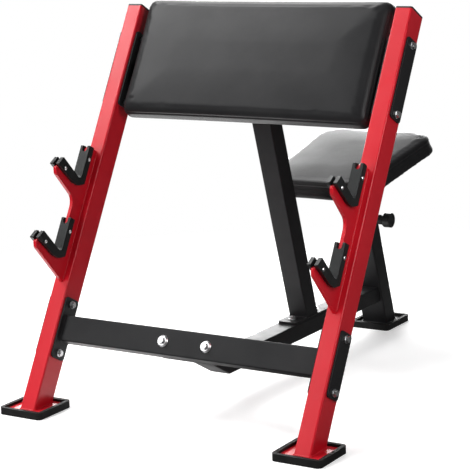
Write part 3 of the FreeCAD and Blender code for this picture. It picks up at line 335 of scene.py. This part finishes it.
def backing_cloth(name):
    """Black backing cloth: a plain weave stretched over the board."""
    finish = Finish(name, IOR=1.4, Sheen_Weight=0.1)
    threads = []
    for axis in ("X", "Y"):
        inputs = {"Vector": finish.place, "Scale": 320.0, "Distortion": 0.6, "Detail": 1.0}
        wave = finish.node("ShaderNodeTexWave", inputs, wave_type="BANDS", bands_direction=axis)
        threads.append(wave.outputs["Fac"])
    weave = finish.math("MULTIPLY", *threads)
    finish.feed("Base Color", finish.mixed(weave, BACKING, BACKING_PALE))
    finish.feed("Roughness", finish.ranged(finish.noise(scale=50.0), low=0.8, high=0.95))
    finish.feed("Normal", finish.bumped(weave, distance=0.0003, strength=0.6))
    return finish.material


FINISHES = {
    "red_coat": coat("red_coat", RED, RED_DEEP, RED_EDGE, roughness=(0.30, 0.40),
                     peel=420.0, peel_depth=0.00005, shine=0.36, gloss=0.1),
    "black_coat": coat("black_coat", BLACK, BLACK_DEEP, BLACK_EDGE, roughness=(0.46, 0.56),
                       peel=900.0, peel_depth=0.00006, shine=0.26, gloss=0.0),
    "black_plastic": moulded("black_plastic", PLASTIC, PLASTIC_PALE, roughness=(0.32, 0.44),
                             grain=1300.0, depth=0.00006, shine=0.34),
    "rubber": moulded("rubber", RUBBER, RUBBER_PALE, roughness=(0.60, 0.75),
                      grain=800.0, depth=0.00010, shine=0.12),
    "zinc_steel": plated("zinc_steel"),
    "vinyl": vinyl("vinyl"),
    "board": backing_cloth("backing_cloth"),
}

# Width of the rounding that the sharp edges of a node get, by the end of its name
EDGE_WIDTHS = {
    "hook_plate": 0.0012,
    "foot_plate": 0.0007,
    "flange": 0.0008,
    "backing_plate": 0.0008,
    "beam_front_plate": 0.0008,
    "post_base_plate": 0.0008,
    "post_top_plate": 0.0008,
    "seat_plate": 0.0008,
    "upright_cap": 0.0010,
    "hook_liner": 0.0008,
    "foot_shoe": 0.0028,
    "sleeve_bushing": 0.0006,
}


def dress_frame():
    """Each node gets its finish, and those with sharp edges a small rounding."""
    slots = {part["node"]: part["material_slot"] for part in frame["record"]["subparts"]}
    for name, node in frame["nodes"].items():
        node.data.materials.clear()
        node.data.materials.append(FINISHES[slots[name]])
        width = next((width for end, width in EDGE_WIDTHS.items() if name.endswith(end)), None)
        if width:
            joined = node.modifiers.new("joined", "WELD")
            joined.merge_threshold = JOIN_GAP
            rounded = node.modifiers.new("rounded", "BEVEL")
            rounded.width = width
            rounded.segments = EDGE_SEGMENTS
            rounded.limit_method = "ANGLE"
            rounded.angle_limit = math.radians(EDGE_ANGLE)
            rounded.harden_normals = True


def shorten_spring():
    """The spring in the pin's housing gets a mesh of its own."""
    node = frame["nodes"]["pull_pin_spring"]
    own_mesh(node)


def leaning(x, along, depth):
    """A point by its place up the uprights' front faces and its depth behind them."""
    lean = math.radians(UPRIGHT_LEAN)
    return Vector((x, FRONT_LINE + along * math.sin(lean) + depth * math.cos(lean),
                   along * math.cos(lean) - depth * math.sin(lean)))


def tipped(angle):
    """The upward direction of a piece that leans forward by an angle."""
    lean = math.radians(angle)
    return Vector((0, -math.sin(lean), math.cos(lean)))


def seat_top():
    """The point of the seat's top face that its frame starts from."""
    return Vector((0, FRONT_LINE + SEAT_PLACE, SEAT_HEIGHT))


def loop(middle, across, along, bend):
    """Points around a rectangle with rounded corners. The half sides are the lengths of its two vectors."""
    wide, tall = across.normalized(), along.normalized()
    points = []
    for turn, (u, v) in enumerate(((1, 1), (-1, 1), (-1, -1), (1, -1))):
        corner = middle + across * u + along * v - (wide * u + tall * v) * bend
        for step in range(CORNER_STEPS + 1):
            angle = math.radians(90 * (turn + step / CORNER_STEPS))
            points.append(corner + (wide * math.cos(angle) + tall * math.sin(angle)) * bend)
    return points + points[:1]


def stepped(points):
    """Points at even steps along a path."""
    spots = []
    for first, second in zip(points, points[1:]):
        count = max(1, round((second - first).length / BEAD_STEP))
        spots += [first.lerp(second, step / count) for step in range(count)]
    return spots + points[-1:]


def weld_bead(mesh, points, side):
    """A rippled bead along a path. The side is a direction square to all of it."""
    spots = stepped(points)
    rings = []
    run = 0.0
    for index, spot in enumerate(spots):
        before, after = spots[max(index - 1, 0)], spots[min(index + 1, len(spots) - 1)]
        run += (spot - before).length
        out = (after - before).normalized().cross(side)
        radius = BEAD_RADIUS * (1 + RIPPLE_SHARE * math.sin(math.tau * run / BEAD_RIPPLE))
        ring = []
        for step in range(BEAD_SIDES):
            angle = math.tau * step / BEAD_SIDES
            ring.append(mesh.verts.new(spot + (side * math.cos(angle) + out * math.sin(angle)) * radius))
        rings.append(ring)
    for low, high in zip(rings, rings[1:]):
        for step in range(BEAD_SIDES):
            after = (step + 1) % BEAD_SIDES
            mesh.faces.new((low[step], low[after], high[after], high[step]))
    mesh.faces.new(rings[0])
    mesh.faces.new(rings[-1])


def welds(name, body, slot, lines):
    """One piece with a bead along each line, which is a path and the side of its bead."""
    shape = bmesh.new()
    for points, side in lines:
        weld_bead(shape, points, side)
    bmesh.ops.recalc_face_normals(shape, faces=shape.faces)
    mesh = bpy.data.meshes.new(name)
    shape.to_mesh(mesh)
    shape.free()
    mesh.shade_smooth()
    mesh.materials.append(FINISHES[slot])
    piece = bpy.data.objects.new(name, mesh)
    scene.collection.objects.link(piece)
    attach(piece, body)


def upright_lines(up, back):
    """Red lines at the feet and hook plates, and black ones at the ends of the cross tube and pad bar."""
    lean = math.radians(UPRIGHT_LEAN)
    tread = UPRIGHT_HALF_DEPTH / math.cos(lean)
    heel = FRONT_LINE + PLATE_TOP * math.tan(lean) + tread
    bars = ((CROSS_TUBE_PLACE, CROSS_TUBE_DEPTH, CROSS_TUBE_HALF_DEPTH),
            (PAD_BAR_PLACE, PAD_BAR_DEPTH, PAD_BAR_HALF_DEPTH))
    red, black = [], []
    for sign in (-1, 1):
        foot = Vector((sign * UPRIGHT_X, heel, PLATE_TOP))
        red.append((loop(foot, X_AXIS * UPRIGHT_HALF_WIDTH, Y_AXIS * tread, TUBE_BEND), Z_AXIS))
        for edge in (-PLATE_HALF, PLATE_HALF):
            x = sign * UPRIGHT_X + edge
            red.append(([leaning(x, HOOK_START, 0), leaning(x, HOOK_END, 0)], X_AXIS))
        for place, depth, half_depth in bars:
            end = leaning(sign * FLANGE_X, place, depth)
            black.append((loop(end, up * BAR_HALF_HEIGHT, back * half_depth, BAR_BEND), X_AXIS))
    return red, black


def post_lines(up, back):
    """Around the foot of the centre post and around its top, on the plate behind the pad bar."""
    way = tipped(POST_LEAN)
    foot = Vector((0, FRONT_LINE + POST_PLACE, POST_FOOT))
    tread = POST_HALF / math.cos(math.radians(POST_LEAN))
    base = loop(foot, X_AXIS * POST_HALF, Y_AXIS * tread, TUBE_BEND)
    skew = -way.dot(back)
    head = foot + way * ((foot - leaning(0, 0, POST_PLATE_DEPTH)).dot(back) / skew)
    top = loop(head, X_AXIS * POST_HALF, up * POST_HALF / skew, TUBE_BEND)
    return [(base, Z_AXIS), (top, back)]


def sleeve_foot():
    return Vector((0, FRONT_LINE + SLEEVE_PLACE, 0))


def sleeve_lines():
    """Around the foot of the seat sleeve, and around the main beam's end on its front."""
    lean = math.radians(SLEEVE_LEAN)
    way = tipped(SLEEVE_LEAN)
    foot = sleeve_foot() + way * (PLATE_TOP / math.cos(lean))
    base = loop(foot, X_AXIS * SLEEVE_HALF_WIDTH, Y_AXIS * SLEEVE_HALF_DEPTH / math.cos(lean), TUBE_BEND)
    front = way.cross(X_AXIS)
    joint = sleeve_foot() + front * SLEEVE_HALF_DEPTH
    joint += way * ((BEAM_HEIGHT - joint.z) / way.z)
    beam = loop(joint, X_AXIS * BEAM_HALF_WIDTH, way * BEAM_HALF_HEIGHT / math.cos(lean), TUBE_BEND)
    return [(base, Z_AXIS), (beam, front)]


def seat_lines():
    """Around the seat post, under the seat plate."""
    way, upward = tipped(SLEEVE_LEAN), tipped(SEAT_TILT)
    skew = way.dot(upward)
    under = seat_top() - upward * (SEAT_THICKNESS + SEAT_PLATE)
    head = sleeve_foot() + way * ((under - sleeve_foot()).dot(upward) / skew)
    along = X_AXIS.cross(upward) * SEAT_POST_HALF_DEPTH / skew
    return [(loop(head, X_AXIS * SEAT_POST_HALF_WIDTH, along, TUBE_BEND), upward)]


def weld_lines():
    up, back = leaning(0, 1, 0) - leaning(0, 0, 0), leaning(0, 0, 1) - leaning(0, 0, 0)
    red, black = upright_lines(up, back)
    black += post_lines(up, back) + sleeve_lines()
    arm = leaning(0, CROSS_TUBE_PLACE, ARM_DEPTH)
    black.append((loop(arm, X_AXIS * BEAM_HALF_WIDTH, up * BEAM_HALF_HEIGHT, TUBE_BEND), back))
    welds("red_welds", "frame", "red_coat", red)
    welds("black_welds", "frame", "black_coat", black)
    welds("seat_welds", "seat", "black_coat", seat_lines())


def settled(piece):
    """The piece's mesh with its modifiers applied."""
    view = bpy.context.evaluated_depsgraph_get()
    mesh = bpy.data.meshes.new_from_object(piece.evaluated_get(view))
    piece.modifiers.clear()
    piece.data = mesh
    return mesh


def swell(piece, held):
    """Blow the cover up a little, with the points on its board held, and cap how far it rises."""
    start = [(point.co.copy(), point.normal.copy()) for point in piece.data.vertices]
    group = piece.vertex_groups.new(name="held")
    group.add(held, 1.0, "REPLACE")
    cloth = piece.modifiers.new("swell", "CLOTH")
    cloth.settings.quality = COVER_QUALITY
    cloth.settings.mass = COVER_MASS
    cloth.settings.tension_stiffness = COVER_STIFFNESS
    cloth.settings.compression_stiffness = COVER_STIFFNESS
    cloth.settings.bending_stiffness = COVER_BENDING
    cloth.settings.vertex_group_mass = group.name
    cloth.settings.use_pressure = True
    cloth.settings.uniform_pressure_force = PRESSURE
    cloth.settings.effector_weights.gravity = 0
    cloth.point_cache.frame_start = 1
    cloth.point_cache.frame_end = SWELL_FRAMES
    for step in range(1, SWELL_FRAMES + 1):
        scene.frame_set(step)
    mesh = settled(piece)
    scene.frame_set(1)
    for point, (rest, normal) in zip(mesh.vertices, start):
        rise = (point.co - rest).dot(normal)
        point.co = rest + normal * min(max(rise, -SINK_CAP), SWELL_CAP)
    piece.vertex_groups.clear()


def sew(mesh, depth_of, outward, seam):
    """Press a seam into the wall of a cushion, with the cover raised a little on both sides of it."""
    mesh.update()
    moves = []
    for point in mesh.vertices:
        wall = min(1.0, max(0.0, WALL_TURN - abs(point.normal.dot(outward))) / WALL_BLEND)
        off = (depth_of(point.co) - seam) / SEAM_WIDTH
        dip = SEAM_DEPTH * math.exp(-off * off)
        ridge = SEAM_RIDGE * math.exp(-(abs(off) - RIDGE_SPREAD) ** 2)
        moves.append(point.normal * (ridge - dip) * wall)
    for point, move in zip(mesh.vertices, moves):
        point.co += move


def cushion(node, body, origin, outward, thickness, seam):
    """A soft cover over a cushion's solid. Its depth runs from the face that is used to the board."""
    source = frame["nodes"][node]
    piece = bpy.data.objects.new(f"{node}_cover", source.data.copy())
    scene.collection.objects.link(piece)

    def depth_of(spot):
        return thickness - (spot - origin).dot(outward)

    remesh = piece.modifiers.new("even", "REMESH")
    remesh.mode = "VOXEL"
    remesh.voxel_size = VOXEL
    mesh = settled(piece)
    held = [point.index for point in mesh.vertices if depth_of(point.co) > thickness - HELD_DEPTH]
    kept = set(held)
    moves = [point.normal * SHRINK for point in mesh.vertices]
    for point, move in zip(mesh.vertices, moves):
        if point.index not in kept:
            point.co -= move
    swell(piece, held)
    even = piece.modifiers.new("even", "SMOOTH")
    even.factor = EVEN_FACTOR
    even.iterations = EVEN_ROUNDS
    finer = piece.modifiers.new("finer", "SUBSURF")
    finer.levels = FINER_LEVELS
    finer.render_levels = FINER_LEVELS
    mesh = settled(piece)
    sew(mesh, depth_of, outward, seam)
    mesh.shade_smooth()
    mesh.materials.clear()
    mesh.materials.append(FINISHES["vinyl"])
    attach(piece, body)
    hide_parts(node)


def cushions():
    lean = math.radians(UPRIGHT_LEAN)
    forward = Vector((0, -math.cos(lean), math.sin(lean)))
    cushion("arm_pad_cushion", "frame", leaning(0, PAD_PLACE, PAD_BACK), forward, PAD_THICKNESS, PAD_SEAM)
    upward = tipped(SEAT_TILT)
    under = seat_top() - upward * SEAT_THICKNESS
    cushion("seat_cushion", "seat", under, upward, SEAT_THICKNESS, SEAT_SEAM)


def light(name, place, target, size, power):
    lamp = bpy.data.lights.new(name, "AREA")
    lamp.shape = "RECTANGLE"
    lamp.size, lamp.size_y = size
    lamp.energy = power
    made = bpy.data.objects.new(name, lamp)
    made.location = place
    made.rotation_euler = (Vector(target) - Vector(place)).to_track_quat("-Z", "Y").to_euler()
    made.visible_camera = False
    made.visible_glossy = name not in UNMIRRORED
    scene.collection.objects.link(made)


def floor_finish():
    """Pale, with soft shadows. It fades into the background, and mirrors dark at the right and the front."""
    finish = Finish("floor", Roughness=0.9, Specular_IOR_Level=0.2)
    finish.surface.inputs["Emission Color"].default_value = WHITE
    path = finish.node("ShaderNodeLightPath").outputs
    place = finish.node("ShaderNodeSeparateXYZ", {0: finish.place}).outputs
    right = finish.ranged(place["X"], 0.0, 1.0, *CARD_RIGHT)
    front = finish.ranged(place["Y"], 0.0, 1.0, *CARD_FRONT)
    card = finish.math("MULTIPLY", finish.math("MAXIMUM", right, front), path["Is Glossy Ray"])
    pale = finish.mixed(finish.noise(scale=3.0), FLOOR, FLOOR_PALE)
    dim = finish.math("MULTIPLY", path["Is Diffuse Ray"], FLOOR_DIM_SHARE)
    finish.feed("Base Color", finish.mixed(finish.math("MAXIMUM", card, dim), pale, CARD))
    seen = finish.math("MAXIMUM", path["Is Camera Ray"], path["Is Transmission Ray"])
    mirrored = finish.math("SUBTRACT", path["Is Glossy Ray"], card)
    glow = finish.math("MULTIPLY", seen, FLOOR_GLOW)
    shine = finish.math("MULTIPLY", mirrored, FLOOR_SHINE)
    finish.feed("Emission Strength", finish.math("MAXIMUM", glow, shine))
    reach = finish.node("ShaderNodeVectorMath", {0: finish.place}, operation="LENGTH").outputs["Value"]
    fade = finish.ranged(reach, 0.0, 1.0, *FLOOR_FADE)
    clear = finish.node("ShaderNodeBsdfTransparent").outputs["BSDF"]
    blend = finish.node("ShaderNodeMixShader", {0: fade, 1: finish.surface.outputs["BSDF"], 2: clear})
    output = finish.tree.nodes["Material Output"]
    finish.tree.links.new(blend.outputs["Shader"], output.inputs["Surface"])
    return finish.material


def pale_floor():
    mesh = bpy.data.meshes.new("floor")
    grid = bmesh.new()
    bmesh.ops.create_grid(grid, x_segments=FLOOR_CELLS, y_segments=FLOOR_CELLS, size=FLOOR_REACH)
    grid.to_mesh(mesh)
    grid.free()
    floor = bpy.data.objects.new("floor", mesh)
    scene.collection.objects.link(floor)
    mesh.materials.append(floor_finish())


def backdrop():
    """White for the camera, and for mirror rays a white screen behind the bench in a dim room."""
    world = bpy.data.worlds.new("studio")
    world.use_nodes = True
    scene.world = world
    tree = world.node_tree
    way = add_node(tree, "ShaderNodeTexCoord").outputs["Generated"]
    inputs = {0: way, 1: SCREEN_WAY.normalized()}
    turn = add_node(tree, "ShaderNodeVectorMath", inputs, operation="DOT_PRODUCT").outputs["Value"]
    start, end = SCREEN_EDGE
    inputs = {"Value": turn, "From Min": start, "From Max": end, "To Min": ROOM_GLOSS, "To Max": 1.0}
    screen = add_node(tree, "ShaderNodeMapRange", inputs).outputs["Result"]
    path = add_node(tree, "ShaderNodeLightPath").outputs
    inputs = {"Factor": path["Is Glossy Ray"], "A": ROOM_LIGHT, "B": screen}
    lit = add_node(tree, "ShaderNodeMix", inputs, data_type="FLOAT").outputs[0]
    inputs = {0: path["Is Camera Ray"], 1: path["Is Transmission Ray"]}
    shown = add_node(tree, "ShaderNodeMath", inputs, operation="MAXIMUM").outputs[0]
    inputs = {"Factor": shown, "A": lit, "B": 1.0}
    strength = add_node(tree, "ShaderNodeMix", inputs, data_type="FLOAT").outputs[0]
    background = tree.nodes["Background"]
    background.inputs["Color"].default_value = WHITE
    tree.links.new(strength, background.inputs["Strength"])


def studio():
    pale_floor()
    backdrop()
    for name, (place, target, size, power) in LAMPS.items():
        light(name, place, target, size, power)


def camera():
    yaw, pitch, roll = (math.radians(angle) for angle in (CAMERA_YAW, CAMERA_PITCH, CAMERA_ROLL))
    forward = Vector((-math.sin(yaw) * math.cos(pitch), math.cos(yaw) * math.cos(pitch), -math.sin(pitch)))
    right = Vector((math.cos(yaw), math.sin(yaw), 0))
    up = right.cross(forward)
    across = right * math.cos(roll) + up * math.sin(roll)
    upward = up * math.cos(roll) - right * math.sin(roll)
    lens = bpy.data.cameras.new("camera")
    lens.lens = CAMERA_LENS
    lens.sensor_width = SENSOR
    lens.clip_end = CAMERA_REACH
    made = bpy.data.objects.new("camera", lens)
    turn = Matrix((across, upward, -forward)).transposed()
    made.matrix_world = Matrix.Translation(CAMERA_PLACE) @ turn.to_4x4()
    scene.collection.objects.link(made)
    scene.camera = made


dress_frame()
shorten_spring()
weld_lines()
cushions()
studio()
camera()
scene.view_settings.view_transform = "Standard"
